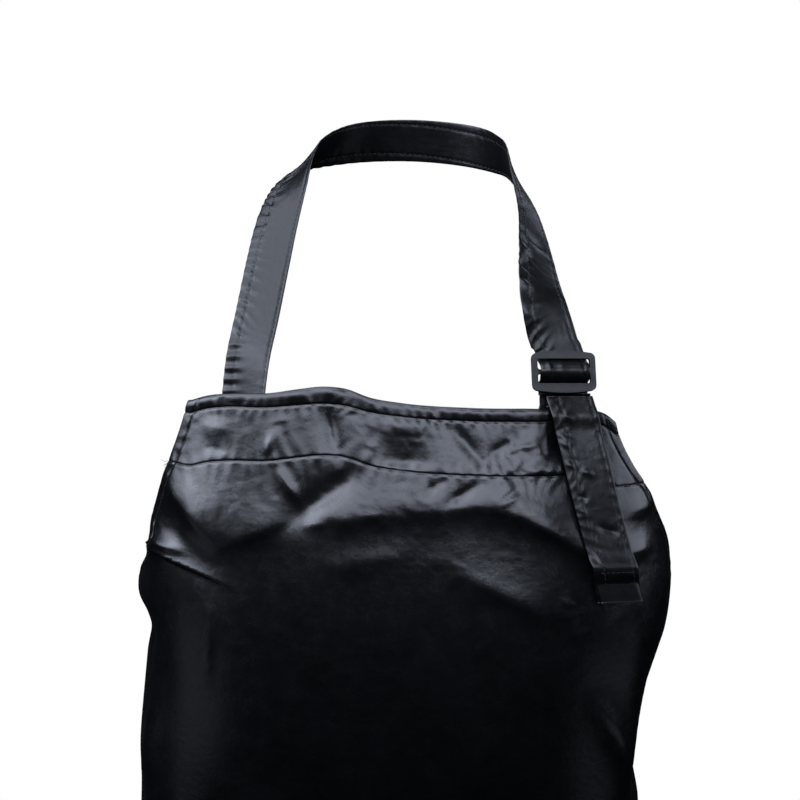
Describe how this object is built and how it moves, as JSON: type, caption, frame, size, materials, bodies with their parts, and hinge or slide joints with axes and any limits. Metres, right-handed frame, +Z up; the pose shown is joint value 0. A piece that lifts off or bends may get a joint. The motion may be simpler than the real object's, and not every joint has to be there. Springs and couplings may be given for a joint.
{
  "type": "bib apron",
  "caption": "Black coated-nylon artist's bib apron in worn shape, with an adjustable neck strap through a slider buckle and waist ties in a bow at the back.",
  "frame": {"origin": "middle of the neck strap at the nape of the neck, which is what the apron hangs from", "axes": "+Z up, -Y the way the wearer faces, +X the wearer's left, where the buckle is"},
  "size_m": [0.3514, 0.2207, 0.8857],
  "materials": {
    "cloth": "glossy coated nylon, crinkled",
    "tape": "glossy coated nylon tape, edge stitched",
    "buckle": "satin moulded plastic",
    "thread": "matte polyester thread"
  },
  "bodies": {
    "apron": {"front_panel": "cloth", "top_hem": "cloth", "armhole_hem_left": "cloth", "armhole_hem_right": "cloth", "side_hem_left": "cloth", "side_hem_right": "cloth", "bottom_hem": "cloth", "neck_strap": "tape", "neck_strap_tack": "thread", "buckle_tab": "tape", "buckle_tab_tack": "thread", "waist_tie_left": "tape", "waist_tie_right": "tape", "waist_tie_tack_left": "thread", "waist_tie_tack_right": "thread", "bow_knot": "tape"},
    "buckle": {"slider_buckle": "buckle", "strap_wrap": "tape"},
    "tail_root": {"strap_exit": "tape"},
    "tail": {"strap_tail": "tape", "tail_end_fold": "tape"},
    "bow_loop_left": {"bow_loop_left": "tape"},
    "bow_loop_right": {"bow_loop_right": "tape"},
    "tie_end_left": {"tie_end_left": "tape"},
    "tie_end_right": {"tie_end_right": "tape"}
  },
  "joints": [
    {"name": "buckle_tilt", "type": "hinge", "parent": "apron", "child": "buckle", "pos_m": [0.091, -0.1475, -0.1126], "axis": [-0.9703, -0.2419, 0], "range_deg": [0, 25]},
    {"name": "tail_swing", "type": "hinge", "parent": "buckle", "child": "tail_root", "pos_m": [0.09135, -0.14891, -0.12654], "axis": [-0.9703, -0.2419, 0], "range_deg": [0, 85]},
    {"name": "tail_pull", "type": "slide", "parent": "tail_root", "child": "tail", "axis": [0.305, -0.235, -0.9229], "range_m": [0, 0.08]},
    {"name": "bow_loop_left_swing", "type": "hinge", "parent": "apron", "child": "bow_loop_left", "pos_m": [0.0165, 0.0121, -0.405], "axis": [0, 0, 1], "range_deg": [0, 30]},
    {"name": "bow_loop_right_swing", "type": "hinge", "parent": "apron", "child": "bow_loop_right", "pos_m": [-0.0145, 0.0121, -0.405], "axis": [0, 0, -1], "range_deg": [0, 30]},
    {"name": "tie_end_left_swing", "type": "hinge", "parent": "apron", "child": "tie_end_left", "pos_m": [0.0085, 0.0121, -0.4208], "axis": [1, 0, 0], "range_deg": [-8, 80]},
    {"name": "tie_end_right_swing", "type": "hinge", "parent": "apron", "child": "tie_end_right", "pos_m": [-0.0065, 0.0121, -0.4208], "axis": [1, 0, 0], "range_deg": [-8, 80]}
  ]
}
